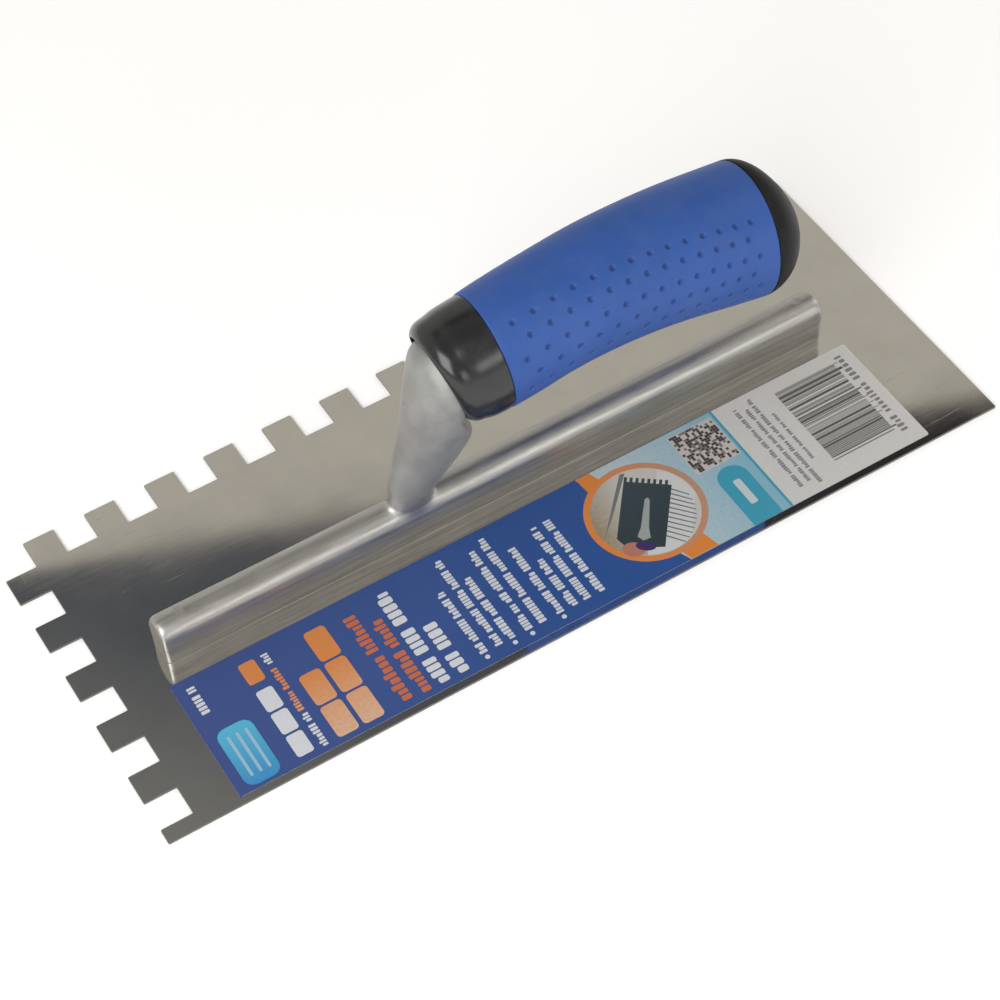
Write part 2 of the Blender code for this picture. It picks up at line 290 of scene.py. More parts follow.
def casting_paint():
    """Light alloy casting: brushed streaks along the bar, satin and faintly pitted neck."""
    p = Paint("cast_alloy", (0.56, 0.56, 0.545), Metallic=1.0)
    height = p.axis("Z")
    neck = p.band(height, 0.0145, 0.021)
    streak = p.noise(0.75, 4.0, 0.65, p.stretched(0.04, 1.0, 1.0))
    mottle = p.noise(0.11, 4.0, 0.6)
    fine = p.noise(1.3, 3.0, 0.6)
    pits = p.band(p.noise(0.42, 3.0, 0.55), 0.67, 0.76)
    bar = p.mix(p.band(streak, 0.34, 0.68), (0.42, 0.408, 0.386), (0.58, 0.568, 0.545))
    satin = p.mix(p.band(mottle, 0.35, 0.68), (0.385, 0.385, 0.37), (0.475, 0.475, 0.455))
    dull = p.mix(neck, bar, satin)
    p.set("Base Color", p.mix(p.math("MULTIPLY", pits, 0.45), dull, (0.24, 0.235, 0.225)))
    shine = p.math("ADD", p.band(neck, 0.0, 1.0, 0.40, 0.60), p.band(mottle, 0.3, 0.7, -0.03, 0.05))
    p.set("Roughness", p.math("ADD", shine, p.band(streak, 0.3, 0.7, 0.0, 0.05)))
    wave = p.noise(0.17, 2.0, 0.5, p.stretched(0.55, 1.0, 1.0))
    relief = p.bump(wave, 0.40, 0.5)
    relief = p.bump(streak, 0.006, 0.5, relief)
    relief = p.bump(mottle, 0.08, 0.4, relief)
    relief = p.bump(fine, 0.010, 0.5, relief)
    relief = p.bump(p.math("SUBTRACT", 1.0, pits), 0.04, 0.6, relief)
    p.set("Normal", relief)
    return p.mat


def rivet_paint():
    """Aluminium rivet heads, ground flush: short arcs from the grinder."""
    p = Paint("rivet_alloy", (0.62, 0.62, 0.61), Metallic=1.0)
    grind = p.noise(1.4, 3.0, 0.6, p.stretched(0.1, 1.0, 1.0))
    p.set("Base Color", p.mix(grind, (0.55, 0.55, 0.54), (0.68, 0.68, 0.67)))
    p.set("Roughness", p.band(grind, 0.3, 0.7, 0.26, 0.4))
    p.set("Normal", p.bump(grind, 0.01, 0.6))
    return p.mat


def grip_paint():
    """Blue elastomer: satin, very fine grain, painted shade darkening the dimples."""
    p = Paint("blue_rubber", (0.030, 0.095, 0.37), Specular_IOR_Level=0.32)
    tone = p.noise(0.045, 3.0, 0.5)
    grain = p.noise(2.2, 3.0, 0.6)
    rub = p.band(p.noise(0.12, 4.0, 0.65), 0.45, 0.75)
    blue = p.mix(p.band(tone, 0.3, 0.7), (0.023, 0.080, 0.308), (0.031, 0.094, 0.348))
    blue = p.mix(p.math("MULTIPLY", rub, 0.3), blue, (0.075, 0.125, 0.32))
    # painted shade: the colour darkens with each dimple's depth, read from the sleeve's dimple attribute
    dimple_shade = p.node("Attribute", attribute_name="dimple").outputs["Fac"]
    p.set("Base Color", p.mix(p.math("MULTIPLY", dimple_shade, 0.65), blue, (0.012, 0.030, 0.13)))
    p.set("Roughness", p.math("ADD", p.band(rub, 0.0, 1.0, 0.46, 0.54), p.band(grain, 0.3, 0.7, 0, 0.05)))
    p.set("Normal", p.bump(p.noise(0.25, 2.0), 0.03, 0.4, p.bump(grain, 0.010, 0.5)))
    return p.mat


def black_paint(name, colour, rough, grain_depth, scuff, specular=0.5):
    """Moulded black plastic with a fine mould texture and rubbed patches."""
    p = Paint(name, colour, Specular_IOR_Level=specular)
    rub = p.band(p.noise(0.13, 4.0, 0.62), 0.46, 0.76)
    lighter = tuple(c * 2.2 + 0.006 for c in colour)
    p.set("Base Color", p.mix(p.math("MULTIPLY", rub, scuff), colour, lighter))
    grain = p.noise(2.6, 3.0, 0.6)
    p.set("Roughness", p.math("ADD", p.band(rub, 0.0, 1.0, rough, rough + 0.10),
                              p.band(grain, 0.3, 0.7, 0.0, 0.03)))
    p.set("Normal", p.bump(p.noise(0.2, 2.0), 0.03, 0.4, p.bump(grain, grain_depth, 0.5)))
    return p.mat


def print_paint(name, colour, second=None, axis="X", low=0.0, high=1.0, rough=0.34):
    """Printed film: ink with a fine uneven lay; second is the colour that it fades to."""
    p = Paint(name, colour)
    base = colour
    if second:
        base = p.mix(p.band(p.axis(axis), low * MM, high * MM), colour, second)
    uneven = p.noise(0.9, 3.0, 0.7)
    darker = tuple(c * 0.86 for c in (second or colour))
    p.set("Base Color", p.mix(p.band(uneven, 0.45, 0.8, 0.0, 0.5), base, darker))
    wrinkle = p.noise(0.03, 2.0)
    p.set("Roughness", p.band(p.noise(0.06, 3.0, 0.6), 0.3, 0.7, rough, rough + 0.09))
    p.set("Normal", p.bump(wrinkle, 0.06, 0.35, p.bump(uneven, 0.004, 0.4)))
    return p.mat


# ------------------------------------------------------------------ blade
NOTCH = 10.0
CORNER_R = 0.35
EDGE_ROUND = 0.10
RIVETS = [f"rivet_{i}" for i in range(1, 8)]
RIVET_SHANK_R = 2.0
HOLE_CLEARANCE = 0.06        # between a rivet's head and its hole


def blade_outline():
    """Notched outline, anticlockwise from the plain end's near corner."""
    low, high = box_mm("blade")
    points = [(high[0], low[1]), (high[0], high[1])]
    x = high[0] - NOTCH
    while x > low[0] + NOTCH / 2:
        points += [(x, high[1]), (x, high[1] - NOTCH), (x - NOTCH, high[1] - NOTCH), (x - NOTCH, high[1])]
        x -= 2 * NOTCH
    points.pop()
    y = high[1] - NOTCH
    while y - 2 * NOTCH > low[1]:
        points += [(low[0], y - NOTCH), (low[0] + NOTCH, y - NOTCH),
                   (low[0] + NOTCH, y - 2 * NOTCH), (low[0], y - 2 * NOTCH)]
        y -= 2 * NOTCH
    points.append((low[0], low[1]))
    return points


def rounded(points, radius, steps=3):
    """The outline with each corner turned as a small arc."""
    out = []
    for before, here, after in zip(points[-1:] + points[:-1], points, points[1:] + points[:1]):
        a = (Vector(before) - Vector(here)).normalized() * radius
        b = (Vector(after) - Vector(here)).normalized() * radius
        centre = Vector(here) + a + b
        for i in range(steps + 1):
            turn = math.pi / 2 * i / steps
            out.append(centre - b * math.cos(turn) - a * math.sin(turn))
    return out


def make_blade(mat):
    low, high = box_mm("blade")
    bm = bmesh.new()
    base = bm.faces.new([bm.verts.new((*p, low[2])) for p in rounded(blade_outline(), CORNER_R)])
    grown = bmesh.ops.extrude_face_region(bm, geom=[base])["geom"]
    top = [v for v in grown if isinstance(v, bmesh.types.BMVert)]
    bmesh.ops.translate(bm, vec=(0, 0, high[2] - low[2]), verts=top)
    rims = [e for e in bm.edges if abs(e.verts[0].co.z - e.verts[1].co.z) < 1e-6]
    bmesh.ops.bevel(bm, geom=rims, offset=EDGE_ROUND, segments=2, profile=0.6, affect="EDGES")
    blade = add_bmesh("blade_sheet", bm, mat)
    for name in RIVETS:
        rivet_low, rivet_high = box_mm(name)
        centre = (rivet_low + rivet_high) / 2
        head_r = (rivet_high[0] - rivet_low[0]) / 2
        cut_round_hole(blade, centre, head_r + HOLE_CLEARANCE, low[2] - 1, high[2] + 1)
    return place(blade, "blade_steel", "blade")


def cut_round_hole(obj, centre, radius, z_low, z_high):
    cutter_mesh = bmesh.new()
    depth = z_high - z_low
    bmesh.ops.create_cone(cutter_mesh, cap_ends=True, segments=64, radius1=radius, radius2=radius,
                          depth=depth, matrix=Matrix.Translation((centre[0], centre[1], z_low + depth / 2)))
    cutter = add_bmesh("cutter", cutter_mesh, obj.data.materials[0])
    mod = obj.modifiers.new("hole", "BOOLEAN")
    mod.object, mod.operation, mod.solver = cutter, "DIFFERENCE", "EXACT"
    apply_modifiers(obj)
    bpy.data.objects.remove(cutter, do_unlink=True)


def apply_modifiers(obj):
    """Keep the mesh as its modifiers make it, and drop them."""
    bpy.context.view_layer.update()
    result = obj.evaluated_get(bpy.context.evaluated_depsgraph_get())
    mesh = bpy.data.meshes.new_from_object(result)
    obj.modifiers.clear()
    obj.data = mesh


# ------------------------------------------------------------------ rivets
def make_rivets(mat):
    """Countersunk heads, flush and faintly dished by the setting tool, on their shanks."""
    blade_top = box_mm("blade")[1][2]
    segments = 56
    for name in RIVETS:
        low, high = box_mm(name)
        head_r = (high[0] - low[0]) / 2
        x, y = (low[0] + high[0]) / 2, (low[1] + high[1]) / 2
        profile = [(1.2, 0.045), (2.2, 0.02), (head_r - 0.45, 0.0), (head_r - 0.1, 0.02),
                   (head_r, 0.09), (head_r, blade_top - 0.02), (RIVET_SHANK_R, blade_top + 0.02),
                   (RIVET_SHANK_R, high[2] - 0.5), (RIVET_SHANK_R - 0.5, high[2])]
        points = []
        for radius, z in profile:
            for i in range(segments):
                turn = 2 * math.pi * i / segments
                points.append((x + radius * math.cos(turn), y + radius * math.sin(turn), low[2] + z))
        rivet = add_mesh(name + "_turned", points, loft_faces(len(profile), segments), mat, 35)
        face_outwards(rivet)
        place(rivet, "rivet_alloy", name)


# ------------------------------------------------------------------ shank
VOXEL = 0.55
FOOT_DROP = 2.0              # how far below the blade's top the foot reaches while it is eased
FILLET_REACH = 9.0           # how far from the foot of the neck the fillet is eased
NECK_X = -31.0               # middle of the neck's foot
BAR_TOP = 15.1               # height of the bar's crown above the blade's underside


def make_shank(mat):
    """The CAD casting, remeshed and eased so that its edges and junctions look cast."""
    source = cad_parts["shank"]
    shank = bpy.data.objects.new("shank_casting", source.data.copy())
    bpy.context.scene.collection.objects.link(shank)
    shank.data.materials.clear()
    shank.data.materials.append(mat)
    blade_top = box_mm("blade")[1][2] * MM
    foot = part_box("shank")[0].z
    for v in shank.data.vertices:
        if v.co.z < foot + 0.05 * MM:
            v.co.z = blade_top - FOOT_DROP * MM
    weld = shank.modifiers.new("weld", "WELD")
    weld.merge_threshold = 0.00001
    remesh = shank.modifiers.new("remesh", "REMESH")
    remesh.mode, remesh.voxel_size = "VOXEL", VOXEL * MM
    ease = shank.modifiers.new("ease", "SMOOTH")
    ease.factor, ease.iterations = 0.5, 16
    apply_modifiers(shank)
    points = np.array([v.co for v in shank.data.vertices]) / MM
    away = np.sqrt(((points[:, 0] - NECK_X) / 1.5) ** 2 + (points[:, 2] - BAR_TOP) ** 2)
    group = shank.vertex_groups.new(name="fillet")
    weights = 1 - smooth_step(FILLET_REACH * 0.5, FILLET_REACH, away)
    weights *= smooth_step(2.5, 6.0, points[:, 2])
    for i in np.nonzero(weights > 0.01)[0]:
        group.add([int(i)], float(weights[i]), "REPLACE")
    fillet = shank.modifiers.new("fillet", "SMOOTH")
    fillet.factor, fillet.iterations, fillet.vertex_group = 0.5, 40, "fillet"
    apply_modifiers(shank)
    shank.vertex_groups.clear()
    roughen_casting(shank)
    for v in shank.data.vertices:
        v.co.z = max(v.co.z, blade_top + 0.01 * MM)
    shank.data.shade_smooth()
    shank.data.set_sharp_from_angle(angle=math.radians(60))
    return place(shank, "cast_alloy", "shank")


def roughen_casting(obj):
    """Long hollows from fettling, shallow dents, and an ejector mark near each end of the bar."""
    mesh = obj.data
    points = np.array([v.co for v in mesh.vertices]) / MM
    normals = np.array([v.normal for v in mesh.vertices])
    low, high = box_mm("shank")
    lift = 0.05 * noise_at(points * (0.25, 1.0, 1.0), 0.10, 3.0)
    lift += 0.008 * noise_at(points, 0.4, 9.0)
    for x in (low[0] + 8.0, high[0] - 6.5):
        reach = np.hypot(points[:, 0] - x, points[:, 1] - 0.5)
        ring = np.exp(-((reach - 1.6) / 0.35) ** 2) * 0.12
        dish = -0.16 * (1 - smooth_step(1.0, 1.7, reach))
        lift += np.where(points[:, 2] > BAR_TOP - 2.2, ring + dish, 0.0)
    lift *= smooth_step(1.2, 3.0, points[:, 2])
    mesh.vertices.foreach_set("co", ((points + normals * lift[:, None]) * MM).ravel())
    mesh.update()


# ------------------------------------------------------------------ handle
GRIP_FRONT = -2.3            # x of the joint between collar and grip, at the middle line
GRIP_REAR = 84.8             # and of the joint between grip and end cap
FRONT_LEAN = -0.10           # x per z of the joint between collar and grip
REAR_LEAN = 0.05             # and of the joint between grip and end cap
COLLAR_FRONT = -17.4
COLLAR_LEAN = -0.27          # x per z of the collar's front face
# share of the collar's length from its front, and how far its side lies inside the handle's line
COLLAR_PROFILE = ((0.0, 2.6), (0.012, 2.3), (0.035, 1.88), (0.07, 1.4), (0.115, 0.96), (0.17, 0.62),
                  (0.23, 0.44), (0.29, 0.40), (0.35, 0.35), (0.42, 0.20), (0.50, 0.06), (0.58, 0.0),
                  (0.68, 0.02), (0.78, 0.07), (0.88, 0.14), (0.95, 0.22), (0.985, 0.34), (1.0, 0.50))
CAP_TAPER = 1.4              # how fast the cap closes towards its tip
CAP_LEAN = -0.12             # x per z of the cap's tip
CAP_DROP = 1.0               # the tip sits this much below the handle's middle
CAP_RIM = ((4.0, 0.0), (0.5, 0.0), (0.2, 0.12), (0.08, 0.3))   # inset, and x past the joint
GRIP_WALL = 3.2
JOINT_ROUND = 0.35           # radius of the edges where handle pieces meet
JOINT_GAP = 0.02
DIMPLE_R = 1.15
DIMPLE_DEPTH = 0.6
DIMPLE_ROWS = (16.4, 12.7, 7.3, 1.5, -4.2, -9.6, -14.0)   # above the handle's middle line
DIMPLES_A_ROW = 14
DIMPLE_LAST_X = 79.6


def ring_points(x, section, inset, lean, turns):
    """One ring round the handle; section is height of the middle, half height, half width."""
    middle, half, width = section
    up = (half - inset) * np.sin(turns)
    return np.stack([x + lean * up, (width - inset) * np.cos(turns), middle + up], axis=1)


def even_turns(count):
    return np.linspace(0, 2 * math.pi, count, endpoint=False)


def rounded_end(x, direction, radius, steps=4):
    """(x, inset) along a rounded rim that starts on the end face at x."""
    turns = np.linspace(0, math.pi / 2, steps + 1)
    return [(x + direction * radius * (1 - math.cos(t)), radius * (1 - math.sin(t))) for t in turns]


def make_grip(handle, mat):
    """Rubber sleeve with rounded ends and a field of dimples pressed into both sides."""
    front, rear = GRIP_FRONT, GRIP_REAR
    fine = np.radians(np.linspace(-52, 62, 150))
    crown = np.radians(np.linspace(62, 118, 32)[1:-1])
    belly = np.radians(np.linspace(232, 308, 38)[1:-1])
    turns = np.concatenate([fine, crown, np.pi - fine[::-1], belly])

    def lean(x):
        share = (x - front) / (rear - front)
        return FRONT_LEAN * max(0.0, 1 - 4 * share) + REAR_LEAN * max(0.0, 4 * share - 3)

    outside = rounded_end(front, 1, JOINT_ROUND)
    outside += [(x, 0.0) for x in np.linspace(front + JOINT_ROUND, rear - JOINT_ROUND, 250)[1:-1]]
    outside += rounded_end(rear, -1, JOINT_ROUND)[::-1]
    inside = [(x, GRIP_WALL) for x in np.linspace(rear, front, 9)]
    rings = [ring_points(x, handle.at(x), inset, lean(x), turns) for x, inset in outside + inside]
    sleeve = add_mesh("grip_sleeve", np.concatenate(rings),
                      loft_faces(len(rings), len(turns), closed=True), mat)
    face_outwards(sleeve)
    press_dimples(sleeve, handle, len(turns) * len(outside))
    sleeve.data.shade_smooth()
    sleeve.data.set_sharp_from_angle(angle=math.radians(70))
    return place(sleeve, "grip_rubber", "soft_grip")


def dimple_places():
    """x and height of each dimple on one side, rows staggered by half a step. The steps grow
    shorter towards the rear, and each pair of rows starts a little further back."""
    places = []
    for row, height in enumerate(DIMPLE_ROWS):
        for i in range(DIMPLES_A_ROW):
            step = i + 0.5 * (row % 2)
            x = 2.2 + 6.715 * step - 0.065 * step**2 + 0.5 * (row // 2) * (1 - step / 13)
            if x < DIMPLE_LAST_X:
                places.append((x, height))
    return places


def press_dimples(sleeve, handle, outer_count):
    """Sink the outer points near each dimple. The top row is only on the near side."""
    mesh = sleeve.data
    points = np.array([v.co for v in mesh.vertices]) / MM
    normals = np.array([v.normal for v in mesh.vertices])
    depth = np.zeros(len(points))
    outer = np.arange(len(points)) < outer_count
    for x, height in dimple_places():
        middle, half, width = handle.at(x)
        y = width * math.sqrt(max(0.0, 1 - (height / half) ** 2))
        for side in (-1, 1) if height < DIMPLE_ROWS[0] else (-1,):
            reach = np.linalg.norm(points - (x, side * y, middle + height), axis=1)
            depth = np.maximum(depth, np.where(outer, 1 - smooth_step(0.35, DIMPLE_R, reach), 0))
    sunk = points - normals * (DIMPLE_DEPTH * depth)[:, None]
    mesh.vertices.foreach_set("co", (sunk * MM).ravel())
    mesh.update()
    # the depth also feeds the grip paint, which darkens the dimples with it as painted shade
    add_float(sleeve, "dimple", depth)


def make_collar(handle, mat):
    """Glossy ferrule: a rolled lip in front, a very shallow waist, a full band to the grip."""
    rear = GRIP_FRONT - JOINT_GAP
    length = rear - COLLAR_FRONT
    turns = even_turns(144)
    rings = []
    for along, inset in smooth_profile(COLLAR_PROFILE, 4):
        x = COLLAR_FRONT + length * along
        lean = COLLAR_LEAN + (FRONT_LEAN - COLLAR_LEAN) * along
        rings.append(ring_points(x, handle.at(x), inset, lean, turns))
    for x, lean in ((rear, FRONT_LEAN), (COLLAR_FRONT, COLLAR_LEAN)):
        rings.append(ring_points(x, handle.bore(), 0.0, lean, turns))
    collar = add_mesh("collar_shell", np.concatenate(rings),
                      loft_faces(len(rings), len(turns), closed=True), mat, 50)
    face_outwards(collar)
    return place(collar, "collar_plastic", "front_collar")


def smooth_profile(points, per_span):
    """Catmull-Rom through the points, so that a few of them give a smooth profile."""
    points = np.array(points)
    out = []
    for k in range(len(points) - 1):
        before, a, b = points[max(k - 1, 0)], points[k], points[k + 1]
        after = points[min(k + 2, len(points) - 1)]
        for t in np.linspace(0, 1, per_span, endpoint=False):
            out.append(0.5 * (2 * a + (b - before) * t + (2 * before - 5 * a + 4 * b - after) * t**2
                              + (3 * a - before - 3 * b + after) * t**3))
    return out + [points[-1]]


def make_cap(handle, mat):
    """End cap: a fine domed shell that carries the grip's line round the rear."""
    start = GRIP_REAR + JOINT_GAP
    middle, half, width = handle.at(start)
    length = box_mm("end_cap")[1][0] - start
    turns = even_turns(144)
    rings = [ring_points(start + past, (middle, half, width), inset, REAR_LEAN, turns)
             for inset, past in CAP_RIM]
    for turn in np.radians(np.linspace(1.5, 89.3, 60)):
        reach, close = math.sin(turn), math.cos(turn) ** CAP_TAPER
        lean = REAR_LEAN + (CAP_LEAN - REAR_LEAN) * reach
        section = (middle - CAP_DROP * reach, half * close, width * close)
        rings.append(ring_points(start + length * reach, section, 0.0, lean, turns))
    cap = add_mesh("cap_shell", np.concatenate(rings), loft_faces(len(rings), len(turns)), mat, 50)
    face_outwards(cap)
    return place(cap, "cap_plastic", "end_cap")


# ------------------------------------------------------------------ label
FILM_LIFT = 0.03             # above the blade's top face
FILM_THICK = 0.09
INK = 0.035                  # height of one layer of ink
PICTURE = (146.6, 21.3)      # middle of the round picture, along and across the label
PICTURE_R = 18.4


class Ink:
    """Printed shapes of one colour, gathered into one piece. s runs along the label from the
    end beside the short notched edge, t across it from the edge beside the bar."""

    def __init__(self, layer):
        low, high = box_mm("label")
        self.corner = (low[0], high[1])
        self.size = (high[0] - low[0], high[1] - low[1])
        film_top = box_mm("blade")[1][2] + FILM_LIFT + FILM_THICK
        self.low, self.high = film_top - 0.02, film_top + layer * INK
        self.points, self.faces = [], []

    def area(self, outline):
        """A slab with this outline of (s, t) points, in either direction."""
        turn = sum(a[0] * b[1] - b[0] * a[1] for a, b in zip(outline, outline[1:] + outline[:1]))
        if turn < 0:
            outline = outline[::-1]
        first, count = len(self.points), len(outline)
        flat = [(self.corner[0] + s, self.corner[1] - t) for s, t in outline]
        self.points += [(x, y, self.low) for x, y in flat] + [(x, y, self.high) for x, y in flat]
        self.faces.append(tuple(first + i for i in range(count)))
        self.faces.append(tuple(first + count + i for i in reversed(range(count))))
        for i in range(count):
            j = (i + 1) % count
            self.faces.append((first + j, first + i, first + count + i, first + count + j))

    def bar(self, s_low, s_high, t_low, t_high, radius=0.0):
        """A rectangle, with round corners where a radius is given."""
        if radius <= 0:
            self.area([(s_low, t_low), (s_high, t_low), (s_high, t_high), (s_low, t_high)])
            return
        radius = min(radius, (s_high - s_low) / 2.01, (t_high - t_low) / 2.01)
        outline = []
        corners = ((s_high - radius, t_low + radius, -90), (s_high - radius, t_high - radius, 0),
                   (s_low + radius, t_high - radius, 90), (s_low + radius, t_low + radius, 180))
        for s, t, start in corners:
            for turn in np.radians((start, start + 30, start + 60, start + 90)):
                outline.append((s + radius * math.cos(turn), t + radius * math.sin(turn)))
        self.area(outline)

    def disc(self, s, t, radius, count=72):
        turns = even_turns(count)
        self.area([(s + radius * math.cos(a), t + radius * math.sin(a)) for a in turns])

    def dashes(self, s_low, s_high, t_low, t_high, pitch, rng, heavy=0.8):
        """A line of plain dashes in groups, as bulky as a printed line but saying nothing."""
        t, left = t_high, rng.randint(3, 8)
        while t > t_low + 0.4 * pitch:
            length = pitch * rng.uniform(0.62, 1.0) * heavy
            short = rng.choice((0.0, 0.0, 0.24)) * (s_high - s_low)
            self.bar(s_low + short, s_high, max(t - length, t_low), t, 0.3 * length)
            t -= length + pitch * (1 - heavy) + 0.08
            left -= 1
            if left == 0:
                t -= 0.7 * pitch
                left = rng.randint(3, 8)

    def make(self, name, mat):
        return place(add_mesh(name, self.points, self.faces, mat), "label_print")


def make_label():
    """The film and everything printed on it."""
    film = Ink(0)
    film.low = box_mm("blade")[1][2] + FILM_LIFT
    length, width = film.size
    film.bar(0, length, 0, width, 0.6)
    paper = print_paint("label_paper", (0.56, 0.555, 0.53), rough=0.42)
    place(film.make("label_film", paper), "label_print", "label")
    print_panels(width)
    print_words()
    print_picture()
    print_codes()


def print_panels(width):
    """Navy field, pale blue field, and the teal line and tab between it and the plain end."""
    navy = Ink(1)
    navy.area([(0, 0), (135.5, 0), (137.6, 7.7), (144.6, 34.7), (148.0, width), (0, width)])
    low, high = box_mm("label")
    navy.make("label_navy", print_paint("navy_ink", (0.040, 0.070, 0.235), (0.022, 0.075, 0.265),
                                        "X", low[0], low[0] + 120))
    pale = Ink(1)
    pale.area([(135.6, 0), (183.6, 0), (183.6, width), (148.1, width), (144.7, 34.7), (137.7, 7.7)])
    pale.make("label_pale_blue", print_paint("pale_blue_ink", (0.44, 0.515, 0.54), (0.21, 0.41, 0.50),
                                             "X", low[0] + 150, low[0] + 184))
    rule = Ink(2)
    rule.bar(183.3, 184.1, 0, width)
    rule.area([(175.3 + 5 * math.cos(a), 25.3 - 5 * math.sin(a)) for a in np.linspace(0, math.pi, 24)]
              + [(170.3, width), (180.3, width)])
    rule.make("label_teal", print_paint("teal_ink", (0.045, 0.30, 0.42)))
    mark = Ink(3)
    mark.bar(174.1, 176.6, 26.0, 36.2, 0.6)
    mark.make("label_tab_marks", print_paint("tab_white_ink", (0.50, 0.56, 0.58)))


def print_words():
    """Plain bars and dashes where a label carries its words."""
    rng = random.Random(7)
    white = Ink(2)
    white.dashes(3.5, 6.1, 3.3, 13.8, 1.5, rng)
    for t in (15.2, 24.0, 32.8):
        white.bar(19.4, 24.6, t, t + 8.0, 0.9)
    white.dashes(26.6, 28.8, 28.0, 41.2, 1.3, rng)
    white.dashes(26.6, 28.8, 4.0, 8.6, 1.3, rng)
    white.dashes(63.9, 68.2, 4.6, 41.0, 2.9, rng, 0.86)
    white.dashes(70.3, 74.5, 20.5, 41.0, 2.9, rng, 0.86)
    lines = ((79.4, 13.7, True), (84.4, 3.4, False), (88.6, 12.7, True), (94.4, 5.9, True),
             (99.1, 3.4, False), (105.0, 9.8, True), (109.7, 19.2, False), (114.1, 7.8, False),
             (118.9, 8.1, False))
    for s, t_low, bullet in lines:
        white.dashes(s, s + 2.5, t_low, 38.6, 1.35, rng, 0.86)
        if bullet:
            white.disc(s + 1.3, 40.3, 0.75, 16)
    white.make("label_white_dashes", print_paint("white_ink", (0.60, 0.62, 0.66)))
    orange = Ink(2)
    orange.bar(19.4, 24.6, 4.4, 12.4, 0.9)
    orange.dashes(26.7, 28.7, 8.9, 27.4, 1.3, rng)
    for s, t_start in ((32.0, 17.2), (40.2, 4.8)):
        for t in np.arange(t_start, 40.0, 12.4):
            orange.bar(s, s + 6.8, t, t + 11.6, 1.2)
    low, high = box_mm("label")
    orange.make("label_orange_blocks", print_paint("orange_ink", (0.62, 0.40, 0.27), (0.62, 0.215, 0.055),
                                                   "Y", low[1] + 3, low[1] + 26))
    rust = Ink(2)
    rust.dashes(52.3, 56.2, 5.4, 40.5, 2.3, rng, 0.82)
    rust.dashes(58.4, 62.1, 9.3, 41.0, 2.3, rng, 0.82)
    rust.make("label_rust_dashes", print_paint("rust_ink", (0.50, 0.13, 0.055)))
    badge = Ink(2)
    badge.bar(3.2, 14.2, 21.0, 42.0, 3.0)
    badge.make("label_badge", print_paint("badge_ink", (0.03, 0.22, 0.50), (0.08, 0.42, 0.62),
                                          "Y", low[1], low[1] + 22))
    stripes = Ink(3)
    for s in (5.6, 8.4, 11.2):
        stripes.bar(s, s + 0.9, 24.0, 39.0, 0.45)
    stripes.make("label_badge_lines", print_paint("badge_line_ink", (0.30, 0.46, 0.58)))


